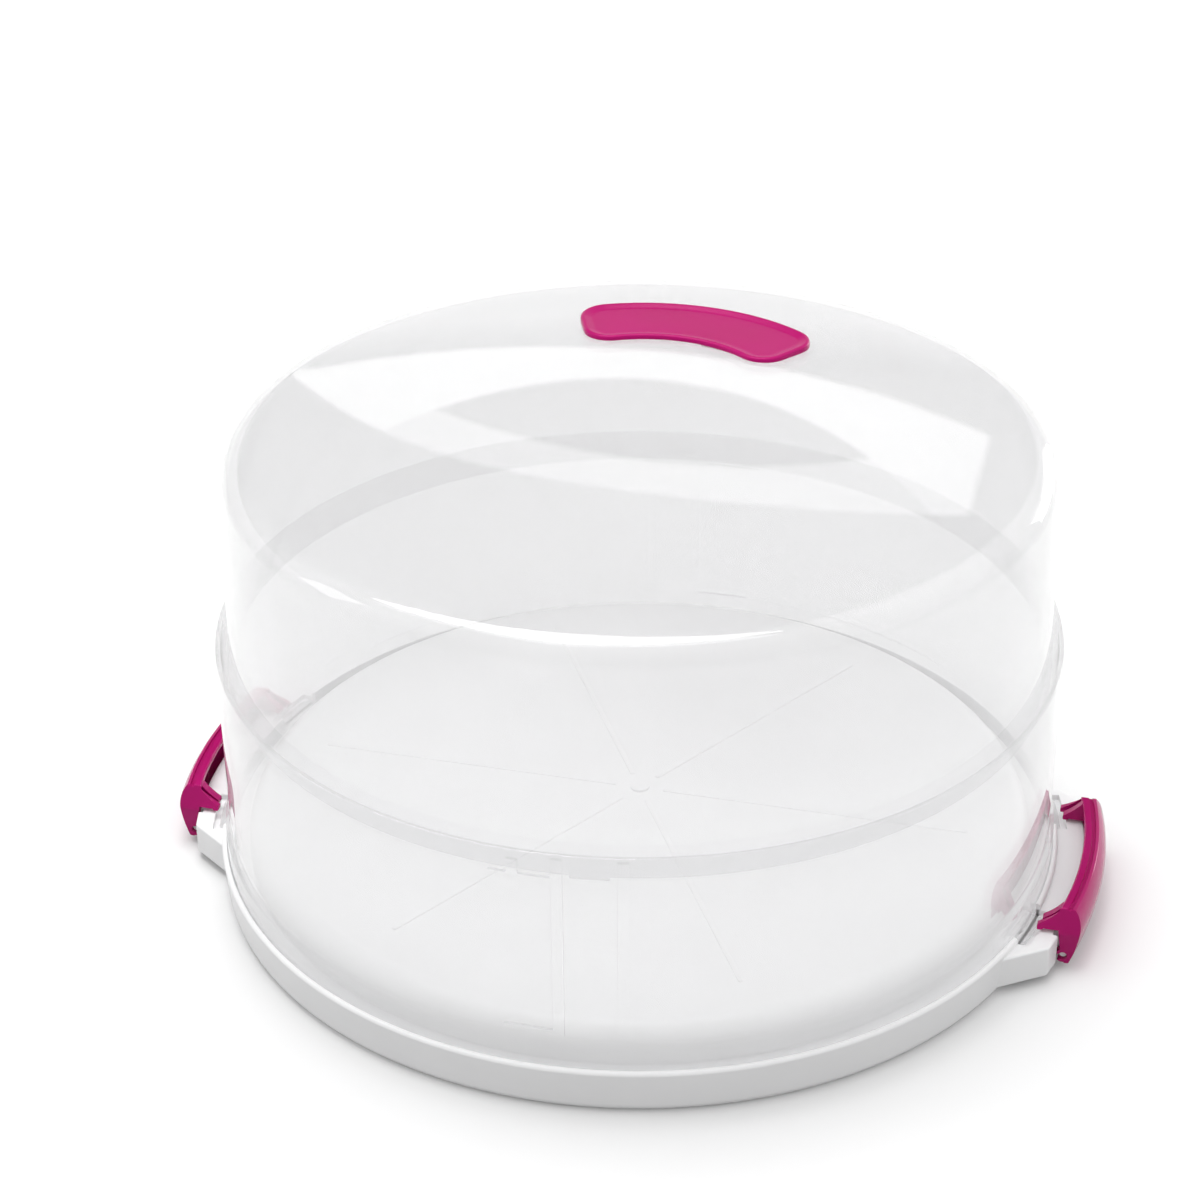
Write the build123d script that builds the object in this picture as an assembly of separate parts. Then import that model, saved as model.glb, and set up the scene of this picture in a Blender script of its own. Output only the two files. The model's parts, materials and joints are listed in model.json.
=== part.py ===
from build123d import *
from math import cos, degrees, hypot, radians, sin, sqrt, tan
import os

# A round cake carrier: a tray with a raised deck, a tall clear ring that stands in the tray's
# groove, a clear dome that slides in the ring, and two side clips that swing on the tray's ears.
# Millimetres, +Z up. The origin is the centre of the tray's underside; the clips lie on +X and -X.

os.makedirs("parts", exist_ok=True)

# ---------------------------------------------------------------- driving dimensions
# Clear ring
ring_r = 170.3            # outer radius of the wall
ring_wall = 2.2
ring_height = 97.7        # from the groove floor to the top edge
ring_edge_round = 0.7
band_reach = 1.8          # how far the foot band stands out of the wall
band_height = 14.9
band_slope = 2.4          # height of the slope above the band

# Tray
groove_floor = 14.0       # height of the groove's floor above the table
groove_clear = 0.4        # band to rim
rim_wall = 1.9
rim_height = 5.2          # above the groove floor
rim_round = 1.5
tray_wall = 2.2
side_lean = 1.2           # how much narrower the side is at its foot
foot_round = 4.0
foot_land = 2.0           # width of the ring that the tray stands on
deck_height = 15.0        # above the groove floor
deck_round = 9.0
deck_gap = 5.6            # ring wall to deck side
ridge_count = 6
ridge_width = 2.2
ridge_height = 0.5
ridge_start = 10.0
ridge_length = 128.0
boss_r = 4.0
boss_height = 1.0

# Ears
ear_reach = 11.7          # beyond the rim
ear_root_angle = 23.0
ear_tip_angle = 16.8
ear_top = 16.6
ear_bottom = 3.0
ear_corner = 3.0
ear_wall = 2.2
ear_roof = 3.2

# Ring's catch tabs, which lie in pockets in the ears
tab_reach = 4.2
tab_thick = 1.3
tab_sink = 0.8            # below the top of the ear
tab_start_angle = 10.5
tab_end_angle = 17.2
tab_corner = 2.4
tab_clear = 0.3           # under a tab
pocket_clear = 2.4        # round a tab and the lips over it

# Dome
dome_r = 165.8            # outer radius at its lower edge
dome_wall = 2.0
dome_raised = 86.3        # lower edge above the groove floor when raised
dome_side = 82.7          # lower edge to the start of the shoulder
dome_lean = 3.4
shoulder_r = 10.0
crown_rise = 4.0
dome_edge_round = 0.6

# Lugs of the dome and rails of the ring
lug_angle = -82.2
lug_width_angle = 5.0
lug_height = 3.0
lug_clear = 0.6           # lug to ring wall
rail_clear = 0.6          # rail to dome wall
channel_width_angle = 6.7
rib_width_angle = 1.5
rib_start = 15.5          # above the groove floor
rib_top_gap = 3.7         # rib to the ring's top edge
ledge_clear = 0.3         # lug to ledge
ledge_height = 2.5
ledge_width_angle = 8.8
low_ledge_drop = 68.0     # upper to lower ledge
low_ledge_width_angle = 7.2
stop_height = 6.0
stop_offset_angle = 5.6   # left rib to the stop on the upper ledge

# Grip and its backing plate
grip_half_length = 52.1   # middle to a slanting end, at the pegs
grip_end_lean = 27.6
grip_width = 34.4
grip_outer_r = 87.0
grip_inner_r = 51.0
grip_setback = 51.4       # lid's edge to the middle of the crescent
grip_turn = -5.5
grip_offset = 0.2         # to +X
grip_proud = 2.6          # above the lid at the crescent's middle
grip_border = 3.4
grip_slope = 0.8          # bevel round its top
grip_dish = 1.1
grip_big_corner = 12.5
grip_small_corner = 11.0
seat_clear = 0.05         # grip and plate to the lid's curved faces
peg_r = 2.6
peg_clear = 0.1
peg_spacing = 46.0
peg_setback = 13.0        # pegs to the crescent's inner edge
backing_thick = 1.6
backing_width = 9.0
backing_overhang = 7.0    # past the pegs
tongue_setback = 6.4      # tongue's edge to the crescent's inner edge
tongue_width = 6.7
tongue_start = 5.0
tongue_length = 27.0

# Clips
pin_r = 1.6
pin_clear = 0.08
pin_height = 6.8
pin_inset = 3.0           # pin's axis behind the ear's outer face
pin_end_gap = 1.6
pin_lug_wall = 0.3
hook_wall = 1.3
hook_mouth = 2.5
mouth_tilt = 20.0
slot_clear = 0.6          # ear to each side of an end wall
slot_swing = 1.4          # room behind a hook
clip_half_length = 44.2
clip_end_wall = 3.4
clip_end_lean = 3.8       # top of an end, in from its widest part
clip_lean_start = 17.0
clip_lean_round = 4.0
clip_end_round = 0.8
clip_gap = 2.8            # ear to the clip's lower edge
clip_bottom = 3.5
clip_foot_wall = 1.8
clip_bulge = 8.0          # ear to the clip's widest part
clip_bulge_z = 17.5
clip_wall = 2.8
clip_top = 27.0
clip_top_wall = 2.5
clip_shoulder = 4.6       # ear to the outer edge of the top band
clip_inner_reach = 1.4    # the top band reaches in past the ear's outer face
clip_shelf = 1.2          # shoulder to groove
clip_groove_width = 1.8
clip_groove_depth = 0.8
clip_edge_round = 0.8
blank_angle = 40.0        # a clip's blank, before its ends are cut

# Fins of the clips, which reach in over the catch tabs, two at each end
fin_reach = 11.1          # pin's axis to the tip of an outer fin
inner_fin_inset = 1.6
fin_gap = 2.0
fin_width = 3.4
fin_bottom = 18.3
fin_tip_height = 1.3
fin_slope_length = 9.0    # of an outer fin
fin_slope_sag = 0.6
fin_root_drop = 0.6       # below the clip's top
fin_lip = 1.9
fin_lip_depth = 0.6
fin_tip_round = 0.5

# For building the solids
overrun = 1.0             # how far a cut or a joined piece runs past a face
near = 0.01

# ---------------------------------------------------------------- sizes that follow
ring_inner_r = ring_r - ring_wall
band_r = ring_r + band_reach
ring_top = groove_floor + ring_height
band_top = groove_floor + band_height
groove_r = band_r + groove_clear
rim_r = groove_r + rim_wall
rim_top = groove_floor + rim_height
rim_widest_z = rim_top - rim_round
side_foot_r = rim_r - side_lean
deck_side_r = ring_inner_r - deck_gap
deck_top = groove_floor + deck_height
ear_r = rim_r + ear_reach
tab_r = band_r + tab_reach
tab_top = ear_top - tab_sink
tab_bottom = tab_top - tab_thick
pocket_floor = tab_bottom - tab_clear
pocket_r = tab_r + pocket_clear
pocket_angle = tab_end_angle + degrees(pocket_clear / tab_r)
pocket_start_angle = tab_start_angle - degrees(pocket_clear / tab_r)

dome_bottom = groove_floor + dome_raised
shoulder_z = dome_bottom + dome_side
dome_shoulder_side_r = dome_r - dome_lean
dome_edge_z = shoulder_z + shoulder_r
dome_edge_r = dome_shoulder_side_r - shoulder_r
lug_r = ring_inner_r - lug_clear
rail_r = dome_r + rail_clear
rib_bottom = groove_floor + rib_start
rib_top = ring_top - rib_top_gap
ledge_top = dome_bottom - ledge_clear
low_ledge_top = ledge_top - low_ledge_drop
left_rib_angle = lug_angle - (channel_width_angle + rib_width_angle) / 2
right_rib_angle = lug_angle + (channel_width_angle + rib_width_angle) / 2

grip_y = dome_edge_r - grip_setback
peg_v = -grip_width / 2 + peg_setback

pin_x = ear_r - pin_inset
hook_r = pin_r + pin_clear + hook_wall
end_wall_y = clip_half_length - clip_end_wall / 2


# ---------------------------------------------------------------- shared shapes
def revolved(face, span=360.0, start=0.0):
    """Turn a profile drawn as (radius, height) about the Z axis."""
    return Rot(0, 0, start) * revolve(Plane.XZ * face, Axis.Z, span)


def outline(*edges):
    """A face from a closed run of lines and arcs."""
    return make_face(Wire(list(edges)))


def wedge(inner_r, outer_r, low, high, middle_angle, width_angle):
    """A block between two radii and two heights, round the Z axis."""
    size = outer_r - inner_r
    profile = Pos(inner_r + size / 2, (low + high) / 2) * Rectangle(size, high - low)
    return revolved(profile, width_angle, middle_angle - width_angle / 2)


def at_angle(radius, angle):
    return (radius * cos(radians(angle)), radius * sin(radians(angle)))


def both_sides(shape):
    """A shape and its half turn about the Z axis."""
    return [shape, Rot(0, 0, 180) * shape]


# ---------------------------------------------------------------- base tray
def tray_body():
    """Deck, groove, rim and side wall as one turned shell."""
    side_top = (rim_r, rim_widest_z)
    foot_top = (side_foot_r, foot_round)
    foot_r = side_foot_r - foot_round
    deck_edge = (deck_side_r - deck_round, deck_top)
    deck_side = (deck_side_r, deck_top - deck_round)
    inner_side_r = deck_side_r - tray_wall
    under_groove = groove_floor - tray_wall
    inner_foot_r = foot_r - foot_land
    deck_arc = CenterArc((deck_edge[0], deck_side[1]), deck_round, 0, 90)
    rim_arc = CenterArc((rim_r - rim_round, rim_widest_z), rim_round, 0, 90)
    foot_arc = CenterArc((foot_r, foot_round), foot_round, -90, 90)
    face = outline(
        Line((0, deck_top), deck_edge),
        deck_arc,
        Line(deck_side, (deck_side_r, groove_floor)),
        Line((deck_side_r, groove_floor), (groove_r, groove_floor)),
        Line((groove_r, groove_floor), (groove_r, rim_top)),
        Line((groove_r, rim_top), (rim_r - rim_round, rim_top)),
        rim_arc,
        Line(side_top, foot_top),
        foot_arc,
        Line((foot_r, 0), (inner_foot_r, 0)),
        Line((inner_foot_r, 0), (side_foot_r - tray_wall, foot_round)),
        Line((side_foot_r - tray_wall, foot_round), (side_foot_r - tray_wall, under_groove)),
        Line((side_foot_r - tray_wall, under_groove), (inner_side_r, under_groove)),
        Line((inner_side_r, under_groove), (inner_side_r, deck_top - tray_wall)),
        Line((inner_side_r, deck_top - tray_wall), (0, deck_top - tray_wall)),
        Line((0, deck_top - tray_wall), (0, deck_top)),
    )
    return revolved(face)


def deck_ridges():
    """Fine rays on the deck, with a round boss where they meet."""
    ridges = []
    middle = ridge_start + ridge_length / 2
    for number in range(ridge_count):
        bar = Pos(middle, 0, deck_top) * Box(ridge_length, ridge_width, 2 * ridge_height)
        ridges.append(Rot(0, 0, number * 360 / ridge_count) * bar)
    ridges.append(Pos(0, 0, deck_top) * Cylinder(boss_r, 2 * boss_height))
    return ridges


def ear_plan(inset=0.0):
    """Outline of an ear seen from above, on the +X side."""
    tip_r = ear_r - inset
    root = at_angle(rim_r - rim_wall, ear_root_angle)
    tip = at_angle(tip_r, ear_tip_angle)
    inner = (root[0], root[1] - inset)
    outer = (tip[0], tip[1] - inset)
    face = outline(
        Line((root[0], -inner[1]), (outer[0], -outer[1])),
        ThreePointArc((outer[0], -outer[1]), (tip_r, 0), outer),
        Line(outer, inner),
        Line(inner, (root[0], -inner[1])),
    )
    corners = face.vertices().sort_by(Axis.X)[-2:]
    return fillet(corners, ear_corner)


def ear():
    """Hollow ear with a slot for each end wall of the clip, and a pin across each slot."""
    height = ear_top - ear_bottom
    shell = Pos(0, 0, ear_bottom) * extrude(ear_plan(), height)
    solid = shell
    shell -= Pos(0, 0, ear_bottom) * extrude(ear_plan(ear_wall), height - ear_roof)
    slot_width = clip_end_wall + 2 * slot_clear
    slot_back = pin_x - hook_r - slot_swing
    block_back = slot_back - ear_wall
    block_size = (ear_r - block_back, slot_width + 2 * ear_wall, height)
    slot_size = (ear_r - slot_back, slot_width, 3 * height)
    from_back = (Align.MIN, Align.CENTER, Align.MIN)
    for side in (1, -1):
        block = Pos(block_back, side * end_wall_y, ear_bottom) * Box(*block_size, align=from_back)
        shell += solid & block
        shell -= Pos(slot_back, side * end_wall_y, 0) * Box(*slot_size, align=from_back)
        shell += pin_and_lug(side, slot_back, slot_width)
    return shell - Cylinder(side_foot_r - tray_wall / 2, 4 * height)


def pin_and_lug(side, slot_back, slot_width):
    """Hinge pin across a slot, on a round-nosed lug at the slot's inner side."""
    lug_end_y = end_wall_y - slot_width / 2
    lug_start_y = lug_end_y - ear_wall
    pin_length = clip_half_length - pin_end_gap - lug_start_y
    lug_r = pin_r + pin_lug_wall
    along_y = Rot(-90, 0, 0)
    from_start = (Align.CENTER, Align.CENTER, Align.MIN)
    shape = along_y * Cylinder(pin_r, pin_length, align=from_start)
    shape += along_y * Cylinder(lug_r, ear_wall, align=from_start)
    arm = Box(pin_x - slot_back, ear_wall, 2 * lug_r, align=(Align.MAX, Align.MIN, Align.CENTER))
    shape = Pos(pin_x, lug_start_y, pin_height) * (shape + arm)
    return shape if side > 0 else mirror(shape, Plane.XZ)


def tab_pocket(side):
    """Cut for one catch tab, through the rim and into the ear."""
    span = pocket_angle - pocket_start_angle
    middle = side * (pocket_angle + pocket_start_angle) / 2
    return wedge(groove_r - overrun, pocket_r, pocket_floor, rim_top + overrun, middle, span)


def base_tray():
    tray = tray_body()
    for piece in deck_ridges():
        tray += piece
    for piece in both_sides(ear()):
        tray += piece
    for side in (1, -1):
        for cut in both_sides(tab_pocket(side)):
            tray -= cut
    return tray


# ---------------------------------------------------------------- lower ring
def ring_wall_body():
    inner_band_r = band_r - ring_wall
    slope_low = band_top
    slope_high = band_top + band_slope
    face = outline(
        Line((inner_band_r, groove_floor), (band_r, groove_floor)),
        Line((band_r, groove_floor), (band_r, slope_low)),
        Line((band_r, slope_low), (ring_r, slope_high)),
        Line((ring_r, slope_high), (ring_r, ring_top)),
        Line((ring_r, ring_top), (ring_inner_r, ring_top)),
        Line((ring_inner_r, ring_top), (ring_inner_r, slope_high - ring_wall)),
        Line((ring_inner_r, slope_high - ring_wall), (inner_band_r, slope_low - ring_wall)),
        Line((inner_band_r, slope_low - ring_wall), (inner_band_r, groove_floor)),
    )
    top_corners = face.vertices().sort_by(Axis.Y)[-2:]
    return revolved(fillet(top_corners, ring_edge_round))


def rails():
    """Channel for a dome lug, with the two ledges on which the lug is parked."""
    outer_r = ring_inner_r + ring_wall / 2
    ledge_right = left_rib_angle
    pieces = [
        wedge(rail_r, outer_r, rib_bottom, rib_top, left_rib_angle, rib_width_angle),
        wedge(rail_r, outer_r, rib_bottom, rib_top, right_rib_angle, rib_width_angle),
    ]
    ledges = [
        (ledge_top, ledge_width_angle),
        (low_ledge_top, low_ledge_width_angle),
    ]
    for top, width in ledges:
        middle = ledge_right - width / 2
        pieces.append(wedge(rail_r, outer_r, top - ledge_height, top, middle, width))
    stop_angle = left_rib_angle - stop_offset_angle
    stop_top = ledge_top + stop_height
    pieces.append(wedge(rail_r, outer_r, ledge_top - overrun, stop_top, stop_angle, rib_width_angle))
    return pieces


def catch_tab(side):
    """Thin tongue on the foot band that a closed clip's prongs hold down."""
    width = tab_end_angle - tab_start_angle
    middle = side * (tab_end_angle + tab_start_angle) / 2
    tab = wedge(band_r - ring_wall / 2, tab_r, tab_bottom, tab_top, middle, width)
    upright = tab.edges().filter_by(Axis.Z)
    outer = upright.sort_by(lambda edge: hypot(edge.center().X, edge.center().Y))[-2:]
    return fillet(outer, tab_corner)


def lower_ring():
    ring = ring_wall_body()
    for piece in rails():
        for copy in both_sides(piece):
            ring += copy
    for side in (1, -1):
        for copy in both_sides(catch_tab(side)):
            ring += copy
    return ring


# ---------------------------------------------------------------- dome
cap_r = (dome_edge_r ** 2 + crown_rise ** 2) / (2 * crown_rise)
dome_top = dome_edge_z + crown_rise


def cap_z(radius):
    """Height of the lid's outer face at a radius."""
    return dome_edge_z + sqrt(cap_r ** 2 - radius ** 2) - sqrt(cap_r ** 2 - dome_edge_r ** 2)


def dome_face(inset, low):
    """Half section of the solid inside the dome's outer face, moved in by inset."""
    side_low = dome_r - inset
    side_high = dome_shoulder_side_r - inset
    edge_z = dome_edge_z - inset
    top_z = dome_top - inset
    middle_r = dome_edge_r / 2
    return outline(
        Line((0, low), (side_low, low)),
        Line((side_low, low), (side_high, shoulder_z)),
        CenterArc((dome_edge_r, shoulder_z), shoulder_r - inset, 0, 90),
        ThreePointArc((dome_edge_r, edge_z), (middle_r, cap_z(middle_r) - inset), (0, top_z)),
        Line((0, top_z), (0, low)),
    )


def upper_dome():
    dome = revolved(dome_face(0, dome_bottom)) - revolved(dome_face(dome_wall, dome_bottom))
    rim_edges = dome.edges().group_by(Axis.Z)[0]
    dome = fillet(rim_edges, dome_edge_round)
    inner_r = dome_r - dome_wall / 2
    lug_top = dome_bottom + lug_height
    lug = wedge(inner_r, lug_r, dome_bottom, lug_top, lug_angle, lug_width_angle)
    for piece in both_sides(lug):
        dome += piece
    for peg_place in peg_places():
        hole = Cylinder(peg_r + peg_clear, 6 * dome_wall)
        dome -= peg_place * Pos(0, 0, dome_top) * hole
    return dome


# ---------------------------------------------------------------- grip and backing plate
def grip_place():
    """Middle of the crescent, turned with it."""
    return Pos(grip_offset, grip_y, 0) * Rot(0, 0, grip_turn)


def peg_places():
    return [grip_place() * Pos(side * peg_spacing / 2, peg_v, 0) for side in (1, -1)]


def crescent(inset):
    """Crescent seen from above, between two arcs and two slanting ends."""
    half = grip_width / 2
    big_r = grip_outer_r - inset
    small_r = grip_inner_r + inset
    big_centre = half - grip_outer_r
    small_centre = -half - grip_inner_r
    lean = radians(grip_end_lean)
    fan_size = 2 * (grip_half_length + grip_outer_r)
    fan_tip = peg_v - grip_half_length / tan(lean) + inset / sin(lean)
    reach = fan_size * sin(lean)
    height = fan_tip + fan_size * cos(lean)
    fan = make_face(Polyline((0, fan_tip), (reach, height), (-reach, height), close=True))
    disc = Pos(0, big_centre) * Circle(big_r)
    bite = Pos(0, small_centre) * Circle(small_r)
    face = (fan & disc) - bite
    corners = face.vertices().sort_by(Axis.Y)
    face = fillet(corners[-2:], grip_big_corner - inset)
    return fillet(face.vertices().sort_by(Axis.Y)[:2], grip_small_corner - inset)


def top_grip():
    """Dished crescent on the lid, with two pegs through it."""
    top = cap_z(grip_y) + grip_proud
    depth = top - dome_edge_z + dome_wall
    body = Pos(0, 0, top - depth) * extrude(crescent(0), depth)
    body = chamfer(body.faces().sort_by(Axis.Z)[-1].edges(), grip_slope)
    body -= Pos(0, 0, top - grip_dish) * extrude(crescent(grip_border), 2 * grip_dish)
    grip = grip_place() * body
    grip -= revolved(dome_face(-seat_clear, dome_bottom))
    peg_low = dome_edge_z - dome_wall - backing_thick
    peg_length = top - 2 * grip_dish - peg_low
    for place in peg_places():
        peg = Cylinder(peg_r, peg_length, align=(Align.CENTER, Align.CENTER, Align.MIN))
        grip += place * Pos(0, 0, peg_low) * peg
    return grip


def grip_backing():
    """Plate under the lid that the grip's pegs are pressed into, with a tongue on one side."""
    length = peg_spacing + 2 * backing_overhang
    plan = Pos(0, peg_v) * RectangleRounded(length, backing_width, backing_width / 2 - seat_clear)
    tongue_r = grip_inner_r + tongue_setback
    centre_v = -grip_width / 2 - grip_inner_r
    tongue = Pos(0, centre_v) * (Circle(tongue_r + tongue_width) - Circle(tongue_r))
    tongue_box = Pos(tongue_start + tongue_length / 2, peg_v)
    tongue &= tongue_box * Rectangle(tongue_length, 3 * backing_width)
    height = 2 * crown_rise + backing_thick
    low = dome_edge_z - dome_wall - backing_thick
    blank = Pos(0, 0, low) * extrude(plan + tongue, height)
    plate = grip_place() * blank
    plate &= revolved(dome_face(dome_wall + seat_clear, dome_bottom))
    plate -= revolved(dome_face(dome_wall + backing_thick, dome_bottom))
    for place in peg_places():
        plate -= place * Pos(0, 0, dome_edge_z) * Cylinder(peg_r + peg_clear, 2 * height)
    return plate


# ---------------------------------------------------------------- clips
def clip_outer_edges():
    """Outer face of the clip's section, from its lower edge to the top band."""
    low = (ear_r + clip_gap + clip_foot_wall, clip_bottom)
    widest = (ear_r + clip_bulge, clip_bulge_z)
    high = (ear_r + clip_shoulder, clip_top - clip_groove_depth / 3)
    low_bow = (widest[0] - clip_wall / 2, (low[1] + widest[1]) / 2 - clip_edge_round)
    high_bow = (widest[0] - clip_wall / 3, (widest[1] + high[1]) / 2 + clip_groove_depth)
    return [ThreePointArc(low, low_bow, widest), ThreePointArc(widest, high_bow, high)]


def clip_section():
    """Hooked wall with a grooved band on top."""
    outer = clip_outer_edges()
    shoulder = outer[-1] @ 1
    foot_in = (ear_r + clip_gap, clip_bottom)
    inner_r = ear_r - clip_inner_reach
    wall_in = ear_r + clip_bulge - clip_wall
    under_z = clip_top - clip_top_wall
    groove_z = clip_top - clip_groove_depth
    groove_out = shoulder.X - clip_shelf
    groove_in = groove_out - clip_groove_width
    groove_lean = clip_groove_width / 6
    top = Polyline(
        (shoulder.X, shoulder.Y),
        (groove_out, clip_top),
        (groove_out - groove_lean, groove_z),
        (groove_in + groove_lean, groove_z),
        (groove_in, clip_top),
        (inner_r, clip_top),
        (inner_r, under_z),
        (shoulder.X - clip_top_wall, under_z),
        (wall_in, clip_bulge_z + clip_top_wall),
        (wall_in, clip_bulge_z - clip_top_wall),
        foot_in,
        outer[0] @ 0,
    )
    face = make_face(outer + top.edges())
    band_edge = [corner for corner in face.vertices() if abs(corner.X - inner_r) < near]
    foot_edge = face.vertices().sort_by(lambda corner: corner.Y - corner.X / 1000)[0]
    return fillet(band_edge + [foot_edge], clip_edge_round)


def clip_core():
    """Everything inside the middle of the clip's wall, which trims its end walls and fins."""
    foot_r = ear_r + clip_gap + clip_foot_wall / 2
    wall_r = ear_r + clip_bulge - clip_wall / 2
    shoulder_r_out = ear_r + clip_shoulder
    face = make_face(Polyline(
        (band_r, 0),
        (foot_r, 0),
        (foot_r, clip_bottom + clip_edge_round),
        (wall_r, clip_bulge_z - clip_top_wall),
        (wall_r, clip_bulge_z + clip_edge_round),
        (shoulder_r_out - clip_top_wall / 2, clip_top - clip_top_wall / 2),
        (shoulder_r_out - clip_top_wall, clip_top - fin_root_drop / 2),
        (band_r, clip_top - fin_root_drop / 2),
        close=True,
    ))
    return revolved(face, blank_angle, -blank_angle / 2)


def fin_profile(reach):
    """Side of a fin, drawn as (x from the pin's axis, height)."""
    tip = -reach
    lip_z = fin_bottom - fin_lip_depth
    tip_z = fin_bottom + fin_tip_height
    root = (fin_slope_length - fin_reach, clip_top - fin_root_drop)
    back = clip_wall
    bow = ((tip + root[0]) / 2, (tip_z + root[1]) / 2 - fin_slope_sag)
    face = outline(
        ThreePointArc((tip, tip_z), bow, root),
        Line(root, (back, root[1])),
        Line((back, root[1]), (back, fin_bottom)),
        Line((back, fin_bottom), (tip + fin_lip + fin_lip_depth, fin_bottom)),
        Line((tip + fin_lip + fin_lip_depth, fin_bottom), (tip + fin_lip, lip_z)),
        Line((tip + fin_lip, lip_z), (tip, lip_z)),
        Line((tip, lip_z), (tip, tip_z)),
    )
    tips = [corner for corner in face.vertices() if abs(corner.X - tip) < near]
    return fillet(tips, fin_tip_round)


def end_wall_profile():
    """Side of an end wall, from the hook round the pin up to the outer fin."""
    left = fin_slope_length - fin_reach - fin_tip_round
    right = clip_bulge + pin_inset
    plate = make_face(Polyline(
        (left, clip_top - fin_root_drop),
        (left, fin_bottom),
        (left / 2, pin_height + hook_r),
        (left / 2, pin_height),
        (0, pin_height - hook_r),
        (right, pin_height - hook_r / 2),
        (right, clip_top),
        close=True,
    ))
    plate += Pos(0, pin_height) * Circle(hook_r)
    mouth = Rectangle(2 * hook_r, hook_mouth, align=(Align.MAX, Align.CENTER))
    return plate - Pos(0, pin_height) * (Circle(pin_r + pin_clear) + Rot(0, 0, mouth_tilt) * mouth)


def across(profile, middle_y, width):
    """A plate that stands across the clip, from a profile about the pin's axis."""
    return Pos(pin_x, middle_y, 0) * extrude(Plane.XZ * profile, width / 2, both=True)


def clip_front():
    """Clip seen from its own side, whose ends lean in at the top."""
    half = clip_half_length
    high = half - clip_end_lean
    face = make_face(Polyline(
        (-half, 0), (half, 0), (half, clip_lean_start), (high, clip_top),
        (-high, clip_top), (-half, clip_lean_start),
        close=True,
    ))
    levels = face.vertices().group_by(Axis.Y)
    face = fillet(levels[1], clip_lean_round)
    return fillet(face.vertices().group_by(Axis.Y)[-1], clip_end_round)


def clip():
    """The clip on the +X side."""
    length = Pos(pin_x, 0, 0) * extrude(Plane.YZ * clip_front(), 2 * fin_reach, both=True)
    inner_fin_y = clip_half_length - 1.5 * fin_width - fin_gap
    spare = clip_end_wall
    end_wall = end_wall_profile() + fin_profile(fin_reach)
    end_shape = across(end_wall, end_wall_y + spare / 2, clip_end_wall + spare)
    end_shape += across(fin_profile(fin_reach - inner_fin_inset), inner_fin_y, fin_width)
    end_shape &= clip_core()
    bar = revolved(clip_section(), blank_angle, -blank_angle / 2) + end_shape
    bar += mirror(end_shape, Plane.XZ)
    bore = Rot(90, 0, 0) * Cylinder(pin_r + pin_clear, 3 * clip_half_length)
    return (bar & length) - Pos(pin_x, 0, pin_height) * bore


# ---------------------------------------------------------------- write the parts
right_clip = clip()
parts = {
    "base_tray": base_tray(),
    "lower_ring": lower_ring(),
    "upper_dome": upper_dome(),
    "top_grip": top_grip(),
    "grip_backing": grip_backing(),
    "clip_right": right_clip,
    "clip_left": Rot(0, 0, 180) * right_clip,
}
for name, shape in parts.items():
    shape.label = name
    export_step(shape, "parts/" + name + ".step")
    print(name, round(shape.volume), "mm3")
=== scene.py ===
import json
import math

import bmesh
import bpy
from mathutils import Matrix, Vector

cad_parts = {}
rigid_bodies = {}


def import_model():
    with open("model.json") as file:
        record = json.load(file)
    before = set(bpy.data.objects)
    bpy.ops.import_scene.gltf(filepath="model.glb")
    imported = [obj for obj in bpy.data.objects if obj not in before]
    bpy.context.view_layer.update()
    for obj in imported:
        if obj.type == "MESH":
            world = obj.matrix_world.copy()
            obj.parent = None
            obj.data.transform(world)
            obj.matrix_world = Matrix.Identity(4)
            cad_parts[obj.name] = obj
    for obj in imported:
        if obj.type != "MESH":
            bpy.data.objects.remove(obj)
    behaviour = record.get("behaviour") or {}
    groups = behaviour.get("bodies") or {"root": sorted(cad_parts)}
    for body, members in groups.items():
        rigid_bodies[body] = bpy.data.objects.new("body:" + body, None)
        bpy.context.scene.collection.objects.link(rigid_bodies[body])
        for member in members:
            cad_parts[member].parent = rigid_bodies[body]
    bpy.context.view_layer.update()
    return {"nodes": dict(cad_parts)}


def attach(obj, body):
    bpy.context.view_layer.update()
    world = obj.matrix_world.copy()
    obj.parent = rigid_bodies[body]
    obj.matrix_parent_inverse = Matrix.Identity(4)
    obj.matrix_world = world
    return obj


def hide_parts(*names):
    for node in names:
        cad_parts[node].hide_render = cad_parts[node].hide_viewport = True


# A round cake carrier: white tray with two ears, clear ring, clear sliding dome, magenta crescent
# grip on the lid and a magenta clip on each ear. Lengths are in millimetres until a mesh is made.

MM = 0.001
TURN_STEPS = 288          # steps round the turned shells
BELOW = -5.0              # heights that cutting blocks reach past the tray
ABOVE = 40.0

# Clear ring
RING_R = 170.3
RING_WALL = 2.2
BAND_R = 172.1            # outside of the foot band
BAND_TOP = 28.9
BAND_SLOPE = 2.4
RING_TOP = 111.7

# Rails inside the ring, in degrees round it and millimetres up
RIB_ANGLE = 0.75          # half a rib's width
LEFT_RIB = -86.3
RIGHT_RIB = -78.1
RIB_BOTTOM = 29.5
RIB_TOP = 108.0
UPPER_LEDGE = 100.0
LOWER_LEDGE = 32.0
LEDGE_THICK = 2.5
UPPER_LEDGE_SPAN = 8.8
LOWER_LEDGE_SPAN = 7.2
STOP_ANGLE = -91.9
STOP_HEIGHT = 6.0

# Tray
GROOVE_FLOOR = 14.0
GROOVE_R = 172.5
RIM_R = 174.4
RIM_TOP = 19.2
TRAY_WALL = 2.2
SIDE_FOOT_R = 173.2
FOOT_INNER_R = 167.2
FOOT_ROUND = 4.0
RIM_ROUND = 1.5
FILLET = 0.8              # in the corners of the groove and behind it
DECK_R = 162.5
DECK_TOP = 29.0
DECK_ROUND = 9.0

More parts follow.
